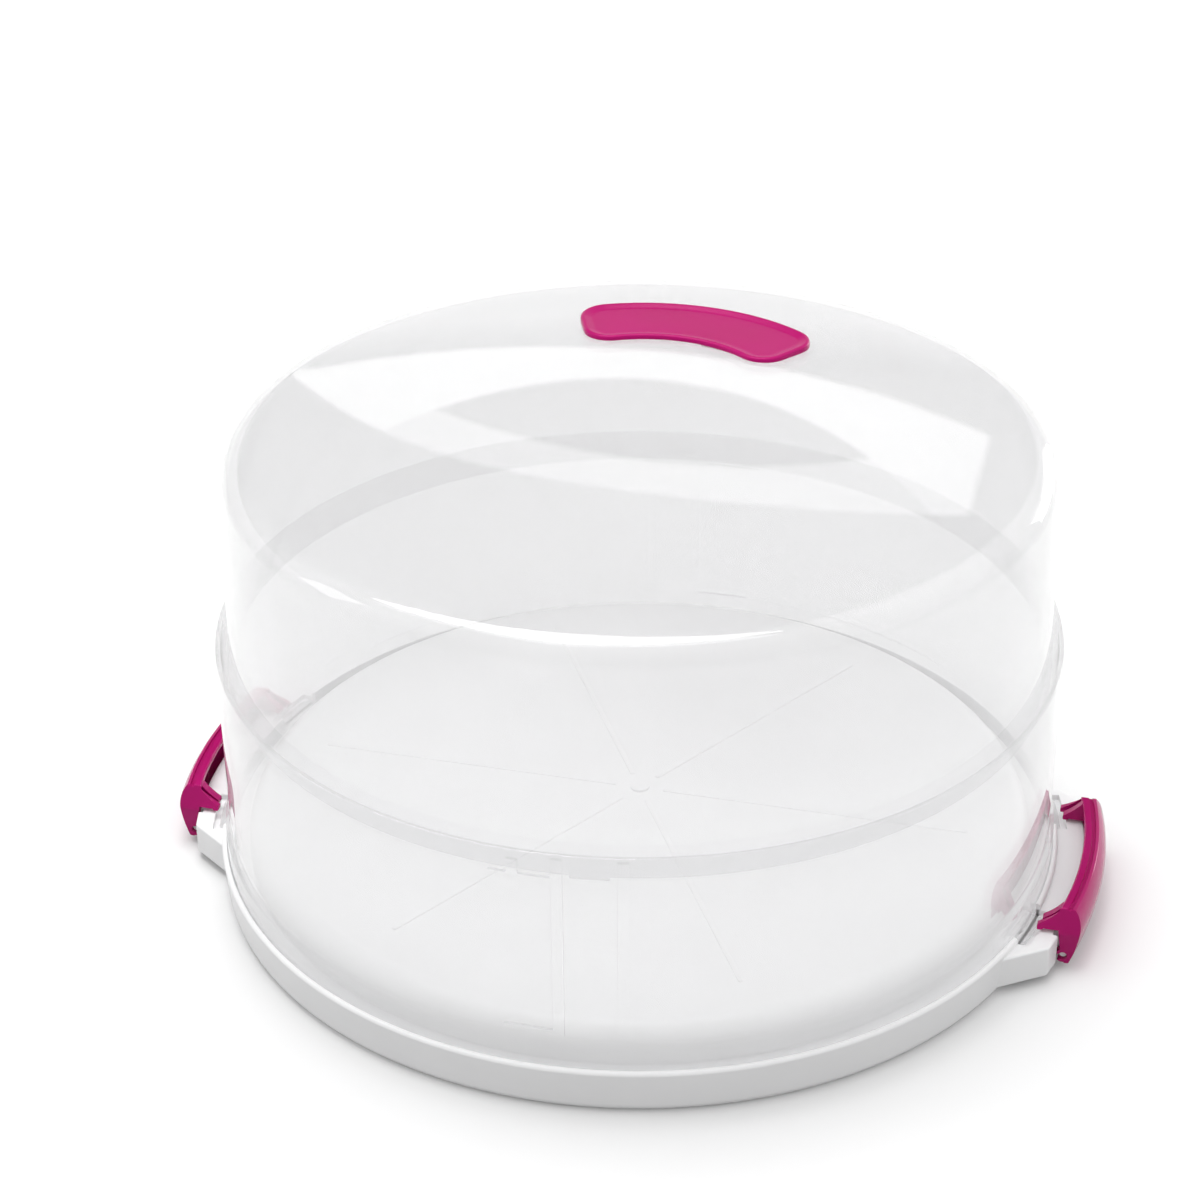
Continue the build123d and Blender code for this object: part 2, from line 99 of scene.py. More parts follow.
# Rays and boss on the deck
RAYS = 6
RAY_HALF_WIDTH = 1.1
RAY_HEIGHT = 0.5
RAY_START = 10.0
RAY_END = 138.0
RAY_TAPER = 0.8           # length of each sloping end
BOSS_R = 4.0
BOSS_BOTTOM = 28.6
BOSS_TOP = 30.0

# Ears
EAR_R = 186.1
EAR_ROOT_ANGLE = 23.0
EAR_TIP_ANGLE = 16.8
EAR_TOP = 16.6
EAR_BOTTOM = 3.0
EAR_WALL = 2.2
EAR_ROOF = 3.2
EAR_CORNER = 3.0
EAR_ROOT_R = GROOVE_R + 0.3   # ends inside the tray's rim
POCKET_R = 178.7
POCKET_FLOOR = 14.2
POCKET_ANGLES = (9.72, 17.98)
SLOT_BACK = 178.72
SLOT_Y = 42.5
SLOT_WIDTH = 4.6
PIN_X = 183.1
PIN_Z = 6.8
PIN_R = 1.6
PIN_END = 42.6

# Catch tabs of the ring
TAB_R = 176.3
TAB_LOW = 14.5
TAB_HIGH = 15.8
TAB_ANGLES = (10.5, 17.2)
TAB_ROOT_R = 170.9
TAB_CORNER = 1.2          # start of a tab's corner, along its outer edge
TAB_CORNER_DEPTH = 2.4    # and along its side

# Dome
DOME_R = 165.8
DOME_WALL = 2.0
DOME_BOTTOM = 100.3
SHOULDER_Z = 183.0
SHOULDER_SIDE_R = 162.4
SHOULDER_R = 10.0
LID_EDGE_R = 152.4
LID_EDGE_Z = 193.0
CROWN = 4.0               # rise of the lid's middle over its edge
CROWN_SPHERE_R = (LID_EDGE_R ** 2 + CROWN ** 2) / (2 * CROWN)
CROWN_STEPS = 24
LUG_R = 167.5             # lugs that run in the ring's rails
LUG_HEIGHT = 3.0
LUG_ANGLES = (-84.7, -79.7)

# Grip
GRIP_X = 0.2
GRIP_Y = 101.0
GRIP_TURN = -5.5
GRIP_HALF_LENGTH = 52.1   # middle to a slanting end, at the pegs
GRIP_END_LEAN = 27.6
GRIP_WIDTH = 34.4
GRIP_OUTER_R = 87.0
GRIP_INNER_R = 51.0
GRIP_BIG_CORNER = 12.5
GRIP_SMALL_CORNER = 11.0
GRIP_TOP = 2.6            # above the lid at the grip's middle
PEG_V = -4.2
PEG_U = 23.0
PEG_R = 2.6
PEG_BOTTOM = 189.5
PEG_CLEARANCE = 0.1

# Clips
CLIP_TOP = 27.0
RIDGE_R = 190.7           # outer edge of the top band
RIDGE_ROUND = 1.1

# Clear plastic: share of light that a wall's face scatters or mirrors, seen square on and along it
HAZE_SQUARE_ON = 0.245
HAZE_ALONG = 0.72
MIRROR_SQUARE_ON = 0.04
MIRROR_ALONG = 0.9

# Light
PALE_LIGHT = 0.80         # surroundings in front and low down behind
SIDE_LIGHT = 0.40         # added at the far left and right
DIM_LIGHT = 0.15          # surroundings high up behind
DIM_HEIGHT = (0.33, 0.37)     # where the dim light sets in, upwards, backwards and to the left
DIM_DEPTH = (-0.3, 0.5)
DIM_SIDE = (0.10, -0.05)
PANEL_LIGHT = 0.84        # curved light panel that the lid mirrors, over the dim light
PANEL_LOW = 0.45          # added along its lower edge
FLOOR_SEEN = 0.80         # floor's grey as the camera sees it
FLOOR_BOUNCE = 0.28       # and as it lights the object
FLOOR_LIFT = 0.05         # glow added where it is seen
FLOOR_HALF = 6000         # half the sheet's side
SOFTBOXES = [             # name, place and aim, width and depth in metres, brightness
    ("top", (-0.35, 0.30, 2.0), (0, 0, 0.05), 1.3, 1.3, 5.9),
    ("left", (-1.9, -0.5, 1.1), (0, 0, 0.15), 0.5, 0.9, 1.8),
    ("back_right", (1.05, 1.75, 0.36), (0.1, 0, 0.03), 0.9, 0.7, 4.0),
]

# Curved panel and its opening, by the sideways and upward parts of a unit direction. Each edge is a
# curve with a level, a middle and a bend; the top edge also droops at its far ends.
PANEL_BOTTOM = (0.360, -0.30, 1.04)
PANEL_TOP = (0.501, -0.13, -1.29, 210.0)
PANEL_LEFT = -0.39
PANEL_RIGHT = -0.05
OPENING_BOTTOM = (0.394, -0.235, 3.6)
OPENING_TOP = (0.471, -0.175, -2.9)

# Camera
CAMERA_DISTANCE = 1.1     # metres, from a point on the carrier's axis
CAMERA_BASE_HEIGHT = 0.1  # height of that point
CAMERA_ELEVATION = 30.54
CAMERA_AZIMUTH = -76.1
CAMERA_PITCH = 29.67
PICTURE_PIXELS = 1200
FOCAL_PIXELS = 2707.57
AXIS_PIXEL = 639.88       # column where the camera's own axis lies
SENSOR = 36.0             # millimetres wide

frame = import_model()


# ---------------------------------------------------------------- mesh helpers
def add_object(name, mesh):
    """An object in the scene."""
    obj = bpy.data.objects.new(name, mesh)
    bpy.context.scene.collection.objects.link(obj)
    return obj


def mesh_object(name, points, faces, edges=()):
    """An object from points in millimetres."""
    mesh = bpy.data.meshes.new(name)
    mesh.from_pydata([[c * MM for c in p] for p in points], edges, faces)
    mesh.update()
    return add_object(name, mesh)


def bake(obj):
    """Turn an object with its modifiers into a plain mesh."""
    bpy.context.view_layer.update()
    shaped = obj.evaluated_get(bpy.context.evaluated_depsgraph_get())
    mesh = bpy.data.meshes.new_from_object(shaped)
    mesh.name = obj.name
    obj.modifiers.clear()
    obj.data = mesh
    return obj


def combine(obj, tool, operation):
    """Add, take away or keep in common with another closed mesh, which is used up."""
    change = obj.modifiers.new("combine", "BOOLEAN")
    change.operation = operation
    change.solver = "EXACT"
    change.object = tool
    bake(obj)
    bpy.data.objects.remove(tool)
    return obj


def joined(name, objects):
    """One object from several closed ones."""
    made = bmesh.new()
    for obj in objects:
        made.from_mesh(obj.data)
        bpy.data.objects.remove(obj)
    mesh = bpy.data.meshes.new(name)
    made.to_mesh(mesh)
    made.free()
    return add_object(name, mesh)


def outward(obj):
    """Merge doubled points and turn every face outwards."""
    made = bmesh.new()
    made.from_mesh(obj.data)
    bmesh.ops.remove_doubles(made, verts=made.verts, dist=2e-6)
    bmesh.ops.recalc_face_normals(made, faces=made.faces)
    made.to_mesh(obj.data)
    made.free()
    return obj


def soften(obj, width, steps=3, angle=32.0):
    """Round every sharp edge by a width in millimetres."""
    bevel = obj.modifiers.new("soft edges", "BEVEL")
    bevel.width = width * MM
    bevel.segments = steps
    bevel.limit_method = "ANGLE"
    bevel.angle_limit = math.radians(angle)
    bevel.use_clamp_overlap = True
    bevel.miter_outer = "MITER_ARC"
    return bake(obj)


def smooth(obj, angle=38.0):
    """Smooth shading that keeps the remaining sharp edges."""
    mesh = obj.data
    mesh.polygons.foreach_set("use_smooth", [True] * len(mesh.polygons))
    mesh.set_sharp_from_angle(angle=math.radians(angle))
    even = obj.modifiers.new("even shading", "WEIGHTED_NORMAL")
    even.keep_sharp = True
    even.weight = 50
    return bake(obj)


def rounded(corners, steps=6):
    """Outline through (x, y, radius) corners, each rounded to its radius."""
    outline = []
    for number, (x, y, radius) in enumerate(corners):
        here = Vector((x, y))
        if radius == 0:
            outline.append((x, y))
            continue
        back = (Vector(corners[number - 1][:2]) - here).normalized()
        ahead = (Vector(corners[(number + 1) % len(corners)][:2]) - here).normalized()
        half = back.angle(ahead) / 2
        centre = here + (back + ahead).normalized() * radius / math.sin(half)
        first = here + back * radius / math.tan(half) - centre
        sweep = math.pi - 2 * half
        if back.x * ahead.y - back.y * ahead.x > 0:
            sweep = -sweep
        for step in range(steps + 1):
            turn = Matrix.Rotation(sweep * step / steps, 2)
            outline.append(tuple(centre + turn @ first))
    return outline


def arc(centre, radius, start, end, steps):
    """Points on an arc, with its angles in degrees."""
    points = []
    for step in range(steps + 1):
        angle = math.radians(start + (end - start) * step / steps)
        points.append((centre[0] + radius * math.cos(angle), centre[1] + radius * math.sin(angle)))
    return points


def circle(centre, radius, steps):
    """Points all the way round."""
    return arc(centre, radius, 0, 360 - 360 / steps, steps - 1)


def prism(name, outline, low, high):
    """A closed block from an outline seen from above."""
    count = len(outline)
    points = [(x, y, low) for x, y in outline] + [(x, y, high) for x, y in outline]
    faces = [[i, (i + 1) % count, (i + 1) % count + count, i + count] for i in range(count)]
    faces.append(list(range(count))[::-1])
    faces.append(list(range(count, 2 * count)))
    return outward(mesh_object(name, points, faces))


def skinned(name, points, count):
    """A closed body from rows of count points, joined row by row and capped at both ends."""
    rows = len(points) // count
    faces = [list(range(count))[::-1], [len(points) - count + i for i in range(count)]]
    for row in range(rows - 1):
        low = row * count
        high = low + count
        for i in range(count):
            j = (i + 1) % count
            faces.append([low + i, low + j, high + j, high + i])
    return outward(mesh_object(name, points, faces))


def wedge(name, inner_r, outer_r, low, high, start, end, steps=8):
    """A block between two radii and two heights, round the Z axis."""
    outline = arc((0, 0), outer_r, start, end, steps) + arc((0, 0), inner_r, end, start, steps)
    return prism(name, outline, low, high)


def rod(name, radius, start_y, end_y, x, z, steps=32):
    """A round rod along Y."""
    obj = prism(name, circle((0, 0), radius, steps), start_y, end_y)
    obj.data.transform(Matrix.Rotation(math.radians(-90), 4, "X"))
    obj.data.transform(Matrix.Translation((x * MM, 0, z * MM)))
    return obj


# ---------------------------------------------------------------- geometry node trees
class Tree:
    """A Geometry Nodes tree with named inputs."""

    def __init__(self, name, inputs):
        self.group = bpy.data.node_groups.new(name, "GeometryNodeTree")
        sockets = self.group.interface
        sockets.new_socket("Geometry", in_out="INPUT", socket_type="NodeSocketGeometry")
        self.ids = {}
        for label, kind in inputs:
            made = sockets.new_socket(label, in_out="INPUT", socket_type="NodeSocket" + kind)
            self.ids[label] = made.identifier
        sockets.new_socket("Geometry", in_out="OUTPUT", socket_type="NodeSocketGeometry")
        self.start = self.group.nodes.new("NodeGroupInput")
        self.end = self.group.nodes.new("NodeGroupOutput")

    def add(self, kind, feeds, **settings):
        """A node whose inputs take other nodes' outputs or plain values."""
        made = self.group.nodes.new(kind)
        for label, value in settings.items():
            setattr(made, label, value)
        for key, value in feeds.items():
            if isinstance(value, bpy.types.NodeSocket):
                self.group.links.new(value, made.inputs[key])
            else:
                made.inputs[key].default_value = value
        return made

    def maths(self, operation, *values):
        """The result of one sum."""
        return self.add("ShaderNodeMath", dict(enumerate(values)), operation=operation).outputs[0]

    def close(self, geometry):
        """Real, smooth-shaded geometry, sent to the output."""
        real = self.add("GeometryNodeRealizeInstances", {"Geometry": geometry})
        shaded = self.add("GeometryNodeSetShadeSmooth", {"Geometry": real.outputs[0]})
        self.group.links.new(shaded.outputs[0], self.end.inputs[0])

    def shape(self, obj, **values):
        """Put the tree on an object, set its inputs and keep the result as a plain mesh."""
        change = obj.modifiers.new("shape", "NODES")
        change.node_group = self.group
        for label, value in values.items():
            change[self.ids[label.replace("_", " ")]] = value
        return bake(obj)


def turned_tree():
    """Turns a run of profile points, drawn in the XZ plane, about the Z axis."""
    tree = Tree("turned_shell", [("Steps", "Int"), ("Rows", "Int")])
    given = tree.start.outputs
    across = tree.maths("ADD", given["Steps"], 1)
    sheet = tree.add("GeometryNodeMeshGrid", {
        "Size X": 1.0, "Size Y": 1.0, "Vertices X": across, "Vertices Y": given["Rows"],
    })
    place = tree.add("GeometryNodeInputPosition", {}).outputs[0]
    parts = tree.add("ShaderNodeSeparateXYZ", {0: place}).outputs
    angle = tree.maths("MULTIPLY", tree.maths("ADD", parts["X"], 0.5), 2 * math.pi)
    last_row = tree.maths("SUBTRACT", given["Rows"], 1)
    row = tree.maths("ROUND", tree.maths("MULTIPLY", tree.maths("ADD", parts["Y"], 0.5), last_row))
    size = tree.add("GeometryNodeAttributeDomainSize", {"Geometry": given["Geometry"]})
    index = tree.maths("MODULO", row, size.outputs["Point Count"])
    look = {"Geometry": given["Geometry"], "Value": place, "Index": index}
    sample = tree.add("GeometryNodeSampleIndex", look, data_type="FLOAT_VECTOR", domain="POINT")
    profile = tree.add("ShaderNodeSeparateXYZ", {0: sample.outputs[0]}).outputs
    x = tree.maths("MULTIPLY", profile["X"], tree.maths("COSINE", angle))
    y = tree.maths("MULTIPLY", profile["X"], tree.maths("SINE", angle))
    point = tree.add("ShaderNodeCombineXYZ", {"X": x, "Y": y, "Z": profile["Z"]}).outputs[0]
    moved = tree.add("GeometryNodeSetPosition", {"Geometry": sheet.outputs[0], "Position": point})
    merge = {"Geometry": moved.outputs[0], "Distance": 2e-6}
    tree.close(tree.add("GeometryNodeMergeByDistance", merge).outputs[0])
    return tree


def round_tree():
    """Copies a piece round the Z axis."""
    tree = Tree("round_copies", [("Count", "Int"), ("Step Angle", "Float")])
    given = tree.start.outputs
    spots = tree.add("GeometryNodePoints", {"Count": given["Count"]})
    number = tree.add("GeometryNodeInputIndex", {}).outputs[0]
    angle = tree.maths("MULTIPLY", number, given["Step Angle"])
    turn = tree.add("ShaderNodeCombineXYZ", {"Z": angle}).outputs[0]
    copies = tree.add("GeometryNodeInstanceOnPoints", {
        "Points": spots.outputs[0], "Instance": given["Geometry"], "Rotation": turn,
    })
    tree.close(copies.outputs[0])
    return tree


TURNED = turned_tree()
ROUND = round_tree()


def turned(name, outline, closed=True, steps=TURN_STEPS):
    """A turned shell from a profile of (radius, height) points, counter-clockwise."""
    count = len(outline)
    edges = [(i, i + 1) for i in range(count - 1)]
    profile = mesh_object(name, [(r, 0, z) for r, z in outline], [], edges)
    return TURNED.shape(profile, Steps=steps, Rows=count + (1 if closed else 0))


def round_copies(obj, count):
    """Copies of a piece at even steps round the Z axis."""
    return ROUND.shape(obj, Count=count, Step_Angle=2 * math.pi / count)


# ---------------------------------------------------------------- materials
def new_material(name):
    """A material with one Principled shader, ready to be linked."""
    material = bpy.data.materials.new(name)
    material.use_nodes = True
    nodes = material.node_tree.nodes
    nodes.clear()
    shader = nodes.new("ShaderNodeBsdfPrincipled")
    output = nodes.new("ShaderNodeOutputMaterial")
    material.node_tree.links.new(shader.outputs[0], output.inputs["Surface"])
    return material, shader, output


def mould_grain(material, shader, scale, bump, base_rough, rough_spread):
    """Fine moulded-plastic grain: uneven gloss and a faint wave in the surface."""
    nodes = material.node_tree.nodes
    link = material.node_tree.links.new
    place = nodes.new("ShaderNodeTexCoord")
    fine = nodes.new("ShaderNodeTexNoise")
    fine.inputs["Scale"].default_value = scale
    fine.inputs["Detail"].default_value = 4.0
    broad = nodes.new("ShaderNodeTexNoise")
    broad.inputs["Scale"].default_value = scale / 30
    broad.inputs["Detail"].default_value = 2.0
    link(place.outputs["Object"], fine.inputs["Vector"])
    link(place.outputs["Object"], broad.inputs["Vector"])
    gloss = nodes.new("ShaderNodeMapRange")
    gloss.inputs["From Min"].default_value = 0.3
    gloss.inputs["From Max"].default_value = 0.7
    gloss.inputs["To Min"].default_value = base_rough - rough_spread
    gloss.inputs["To Max"].default_value = base_rough + rough_spread
    link(broad.outputs[0], gloss.inputs["Value"])
    link(gloss.outputs[0], shader.inputs["Roughness"])
    relief = nodes.new("ShaderNodeBump")
    relief.inputs["Strength"].default_value = bump
    relief.inputs["Distance"].default_value = 0.0002
    link(fine.outputs[0], relief.inputs["Height"])
    link(relief.outputs[0], shader.inputs["Normal"])
    return broad


def colour_drift(material, shader, noise, first, second):
    """Very slight change of colour over a piece."""
    ramp = material.node_tree.nodes.new("ShaderNodeValToRGB")
    ramp.color_ramp.elements[0].position = 0.3
    ramp.color_ramp.elements[0].color = (*first, 1)
    ramp.color_ramp.elements[1].position = 0.7
    ramp.color_ramp.elements[1].color = (*second, 1)
    material.node_tree.links.new(noise.outputs[0], ramp.inputs[0])
    material.node_tree.links.new(ramp.outputs[0], shader.inputs["Base Color"])


def white_plastic():
    """Satin white polypropylene."""
    material, shader = new_material("tray_white")[:2]
    noise = mould_grain(material, shader, 900.0, 0.12, 0.36, 0.04)
    colour_drift(material, shader, noise, (0.87, 0.87, 0.875), (0.89, 0.89, 0.895))
    shader.inputs["IOR"].default_value = 1.49
    return material


def clear_plastic():
    """Clear polypropylene: mostly see-through, hazier where the eye looks along the wall, glossy."""
    material, shader, output = new_material("clear_plastic")
    noise = mould_grain(material, shader, 60.0, 0.03, 0.30, 0.05)
    colour_drift(material, shader, noise, (0.95, 0.95, 0.95), (0.97, 0.97, 0.97))
    shader.inputs["IOR"].default_value = 1.2
    nodes = material.node_tree.nodes
    link = material.node_tree.links.new
    passing = nodes.new("ShaderNodeBsdfTransparent")
    passing.inputs["Color"].default_value = (0.966, 0.966, 0.968, 1)
    through = nodes.new("ShaderNodeBsdfTranslucent")
    through.inputs["Color"].default_value = (0.97, 0.97, 0.97, 1)
    milk = nodes.new("ShaderNodeMixShader")
    milk.inputs["Fac"].default_value = 0.7
    link(shader.outputs[0], milk.inputs[1])
    link(through.outputs[0], milk.inputs[2])
    edge = nodes.new("ShaderNodeLayerWeight")
    edge.inputs["Blend"].default_value = 0.5

    def by_angle(power, square_on, along):
        """A value that grows from square_on to along as the eye tips over to the wall's edge."""
        bend = nodes.new("ShaderNodeMath")
        bend.operation = "POWER"
        bend.inputs[1].default_value = power
        link(edge.outputs["Facing"], bend.inputs[0])
        spread = nodes.new("ShaderNodeMapRange")
        spread.inputs["To Min"].default_value = square_on
        spread.inputs["To Max"].default_value = along
        link(bend.outputs[0], spread.inputs["Value"])
        return spread.outputs[0]

    wall = nodes.new("ShaderNodeMixShader")
    link(by_angle(6.0, HAZE_SQUARE_ON, HAZE_ALONG), wall.inputs["Fac"])
    link(passing.outputs[0], wall.inputs[1])
    link(milk.outputs[0], wall.inputs[2])
    gloss = nodes.new("ShaderNodeBsdfGlossy")
    gloss.inputs["Roughness"].default_value = 0.018
    gloss.inputs["Color"].default_value = (1, 1, 1, 1)
    mix = nodes.new("ShaderNodeMixShader")
    link(by_angle(5.0, MIRROR_SQUARE_ON, MIRROR_ALONG), mix.inputs["Fac"])
    link(wall.outputs[0], mix.inputs[1])
    link(gloss.outputs[0], mix.inputs[2])
    link(mix.outputs[0], output.inputs["Surface"])
    return material


def magenta_plastic(name, roughness, level):
    """Magenta plastic, a little translucent, whose face-on reflections keep its own colour."""
    material, shader = new_material(name)[:2]
    noise = mould_grain(material, shader, 700.0, 0.06, roughness, 0.04)
    colour_drift(material, shader, noise, (0.36, 0.002, 0.108), (0.39, 0.003, 0.125))
    shader.inputs["IOR"].default_value = 1.5
    shader.inputs["Specular IOR Level"].default_value = level
    shader.inputs["Specular Tint"].default_value = (1.0, 0.3, 0.6, 1)
    shader.inputs["Subsurface Weight"].default_value = 0.12
    shader.inputs["Subsurface Radius"].default_value = (1.0, 0.2, 0.5)
    shader.inputs["Subsurface Scale"].default_value = 0.002
    return material


WHITE = white_plastic()
CLEAR = clear_plastic()
GLOSSY_MAGENTA = magenta_plastic("magenta_gloss", 0.16, 0.5)
SATIN_MAGENTA = magenta_plastic("magenta_satin", 0.34, 0.3)


def place(obj, body, slot, material, *nodes):
    """Give a finished piece its material, its body and the CAD nodes that it stands for."""
    obj.data.materials.clear()
    obj.data.materials.append(material)
    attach(obj, body)
    if nodes:
        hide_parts(*nodes)
    return obj


# ---------------------------------------------------------------- tray
def tray_dish():
    """Deck, groove, rim and side wall."""
    outline = [(0, DECK_TOP - TRAY_WALL)] + rounded([
        (DECK_R - TRAY_WALL, DECK_TOP - TRAY_WALL, FILLET),
        (DECK_R - TRAY_WALL, GROOVE_FLOOR - TRAY_WALL, FILLET),
        (SIDE_FOOT_R - TRAY_WALL, GROOVE_FLOOR - TRAY_WALL, FILLET),
        (SIDE_FOOT_R - TRAY_WALL, FOOT_ROUND, 1.0),
        (FOOT_INNER_R, 0.0, 0.5),
        (SIDE_FOOT_R - FOOT_ROUND + 0.5, 0.0, 0.0),
    ], 4)[:-1]
    outline += arc((SIDE_FOOT_R - FOOT_ROUND, FOOT_ROUND), FOOT_ROUND, -90, 0, 10)
    outline += arc((RIM_R - RIM_ROUND, RIM_TOP - RIM_ROUND), RIM_ROUND, 0, 90, 8)
    outline += rounded([
        (GROOVE_R - 0.01, RIM_TOP, 0.0),
        (GROOVE_R, GROOVE_FLOOR, FILLET),
        (DECK_R, GROOVE_FLOOR, FILLET),
        (DECK_R, DECK_TOP - DECK_ROUND, 0.0),
    ], 4)[:-1]
    outline += arc((DECK_R - DECK_ROUND, DECK_TOP - DECK_ROUND), DECK_ROUND, 0, 90, 16)
    outline.append((0, DECK_TOP))
    return turned("tray_dish", outline, closed=False)


def either_side(angles, side):
    """A span of angles on the +Y side, or mirrored to the -Y side."""
    first, last = angles
    return (first, last) if side > 0 else (-last, -first)


def pocket_cutter(side):
    """Cutting block for a catch tab's pocket."""
    first, last = either_side(POCKET_ANGLES, side)
    return wedge("pocket", GROOVE_R - 1, POCKET_R, POCKET_FLOOR, 24, first, last, 12)


def ear_outline(inset):
    """Ear seen from above, moved in by inset."""
    tip_r = EAR_R - inset
    root_angle = math.radians(EAR_ROOT_ANGLE)
    root = (GROOVE_R * math.cos(root_angle), GROOVE_R * math.sin(root_angle) - inset)
    tip_angle = math.radians(EAR_TIP_ANGLE)
    tip = (tip_r * math.cos(tip_angle), tip_r * math.sin(tip_angle) - inset)
    lean = math.degrees(math.atan2(tip[1], tip[0]))
    bow = arc((0, 0), tip_r, -lean, lean, 12)
    corners = [(root[0], -root[1], 0), (tip[0], -tip[1], EAR_CORNER - inset / 2)]
    corners += [(x, y, 0) for x, y in bow[1:-1]]
    corners += [(tip[0], tip[1], EAR_CORNER - inset / 2), (root[0], root[1], 0)]
    return rounded(corners, 6)


def ear():
    """Hollow ear with lined slots for the clip and pockets for the catch tabs, on the +X side."""
    block = prism("ear", ear_outline(0), EAR_BOTTOM, EAR_TOP)
    soften(block, 0.9, 3, 50)
    hollow = prism("hollow", ear_outline(EAR_WALL), EAR_BOTTOM - 2, EAR_TOP - EAR_ROOF)
    combine(block, hollow, "DIFFERENCE")
    for side in (1, -1):
        low_y = side * SLOT_Y - SLOT_WIDTH / 2
        high_y = side * SLOT_Y + SLOT_WIDTH / 2
        wall_x = SLOT_BACK - EAR_WALL
        outer_x = EAR_R - 1.2
        lining = [
            (wall_x, low_y - EAR_WALL), (outer_x, low_y - EAR_WALL),
            (outer_x, high_y + EAR_WALL), (wall_x, high_y + EAR_WALL),
        ]
        inside = prism("lining", lining, EAR_BOTTOM + 0.02, EAR_TOP - EAR_ROOF + 1)
        combine(inside, prism("shape", ear_outline(0.4), 0, 30), "INTERSECT")
        combine(block, inside, "UNION")
        slot = [(SLOT_BACK, low_y), (EAR_R + 9, low_y), (EAR_R + 9, high_y), (SLOT_BACK, high_y)]
        combine(block, prism("slot", slot, BELOW, ABOVE), "DIFFERENCE")
    core = circle((0, 0), EAR_ROOT_R, TURN_STEPS)
    combine(block, prism("core", core, BELOW, ABOVE), "DIFFERENCE")
    for side in (1, -1):
        combine(block, pocket_cutter(side), "DIFFERENCE")
    soften(block, 0.35, 2, 40)
    return block


def hinge_pin(side):
    """Pin across a slot, on its round-nosed lug."""
    slot_wall = SLOT_Y - SLOT_WIDTH / 2
    low, high = sorted((side * (slot_wall - EAR_WALL), side * PIN_END))
    pin = soften(rod("pin", PIN_R, low, high, PIN_X, PIN_Z), 0.3, 2, 50)
    low, high = sorted((side * (slot_wall - EAR_WALL), side * (slot_wall + 0.05)))
    nose = soften(rod("nose", PIN_R + 0.3, low, high, PIN_X, PIN_Z, 24), 0.15, 2, 50)
    return [pin, nose]


def deck_rays():
    """Fine rays with sloping sides and ends, sunk a little into the deck."""
    half = RAY_HALF_WIDTH
    flat = half - 0.35
    section = [
        (-half, -0.3), (-half, 0.15), (-flat, RAY_HEIGHT), (flat, RAY_HEIGHT), (half, 0.15), (half, -0.3),
    ]
    stations = [
        (RAY_START, 0.2), (RAY_START + RAY_TAPER, 1.0), (RAY_END - RAY_TAPER, 1.0), (RAY_END, 0.2),
    ]
    points = []
    for x, share in stations:
        for y, z in section:
            points.append((x, y * (0.6 + 0.4 * share), DECK_TOP + (z if z < 0 else z * share)))
    ray = skinned("deck_rays", points, len(section))
    return round_copies(soften(ray, 0.15, 2, 25), RAYS)


def deck_boss():
    """Low round boss where the rays would meet."""
    outline = [(0, BOSS_BOTTOM)]
    outline += rounded([
        (0.01, BOSS_BOTTOM, 0), (BOSS_R, BOSS_BOTTOM, 0), (BOSS_R, BOSS_TOP, 0.4), (0.01, BOSS_TOP, 0),
    ], 4)[1:-1]
    outline.append((0, BOSS_TOP))
    return turned("deck_boss", outline, closed=False, steps=48)


dish = tray_dish()
for half_turn in (0, 180):
    for side in (1, -1):
        cutter = pocket_cutter(side)
        cutter.data.transform(Matrix.Rotation(math.radians(half_turn), 4, "Z"))
        combine(dish, cutter, "DIFFERENCE")
place(smooth(dish), "tray", "tray_white", WHITE, "base_tray")
ears = round_copies(ear(), 2)
ears.name = "tray_ears"
place(smooth(ears), "tray", "tray_white", WHITE)
pins = round_copies(joined("hinge_pins", hinge_pin(1) + hinge_pin(-1)), 2)
pins.name = "hinge_pins"
place(smooth(pins), "tray", "tray_white", WHITE)
place(smooth(deck_rays()), "tray", "tray_white", WHITE)
place(smooth(deck_boss()), "tray", "tray_white", WHITE)


# ---------------------------------------------------------------- clear ring
def rail_block(low, high, start, end, steps=6):
    """A soft-edged block on the inside of the ring's wall."""
    inner_r = DOME_R + 0.6
    root_r = RING_R - RING_WALL / 2
    return soften(wedge("rails", inner_r, root_r, low, high, start, end, steps), 0.35, 2)


def rail_pieces():
    """Two ribs, two ledges and a stop inside the ring, as one piece."""
    rails = rail_block(RIB_BOTTOM, RIB_TOP, LEFT_RIB - RIB_ANGLE, LEFT_RIB + RIB_ANGLE, 3)
    blocks = [
        (RIB_BOTTOM, RIB_TOP, RIGHT_RIB - RIB_ANGLE, RIGHT_RIB + RIB_ANGLE),
        (UPPER_LEDGE - LEDGE_THICK, UPPER_LEDGE, LEFT_RIB - UPPER_LEDGE_SPAN, LEFT_RIB),
        (LOWER_LEDGE - LEDGE_THICK, LOWER_LEDGE, LEFT_RIB - LOWER_LEDGE_SPAN, LEFT_RIB),
        (UPPER_LEDGE - 1.0, UPPER_LEDGE + STOP_HEIGHT, STOP_ANGLE - RIB_ANGLE, STOP_ANGLE + RIB_ANGLE),
    ]
    for block in blocks:
        combine(rails, rail_block(*block), "UNION")
    return rails


def catch_tab(side):
    """Thin tongue with round corners, which a closed clip holds down."""
    first, last = either_side(TAB_ANGLES, side)
    corner = math.degrees(TAB_CORNER / TAB_R)

    def side_point(angle):
        """Where a corner ends on the tab's side."""
        turn = math.radians(angle)
        return TAB_R * math.cos(turn) - TAB_CORNER_DEPTH, TAB_R * math.sin(turn)

    outline = arc((0, 0), TAB_ROOT_R, last, first, 6)
    outline.append(side_point(first))
    outline += arc((0, 0), TAB_R, first + corner, last - corner, 6)
    outline.append(side_point(last))
    return soften(prism("tab", outline, TAB_LOW, TAB_HIGH), 0.3, 2)


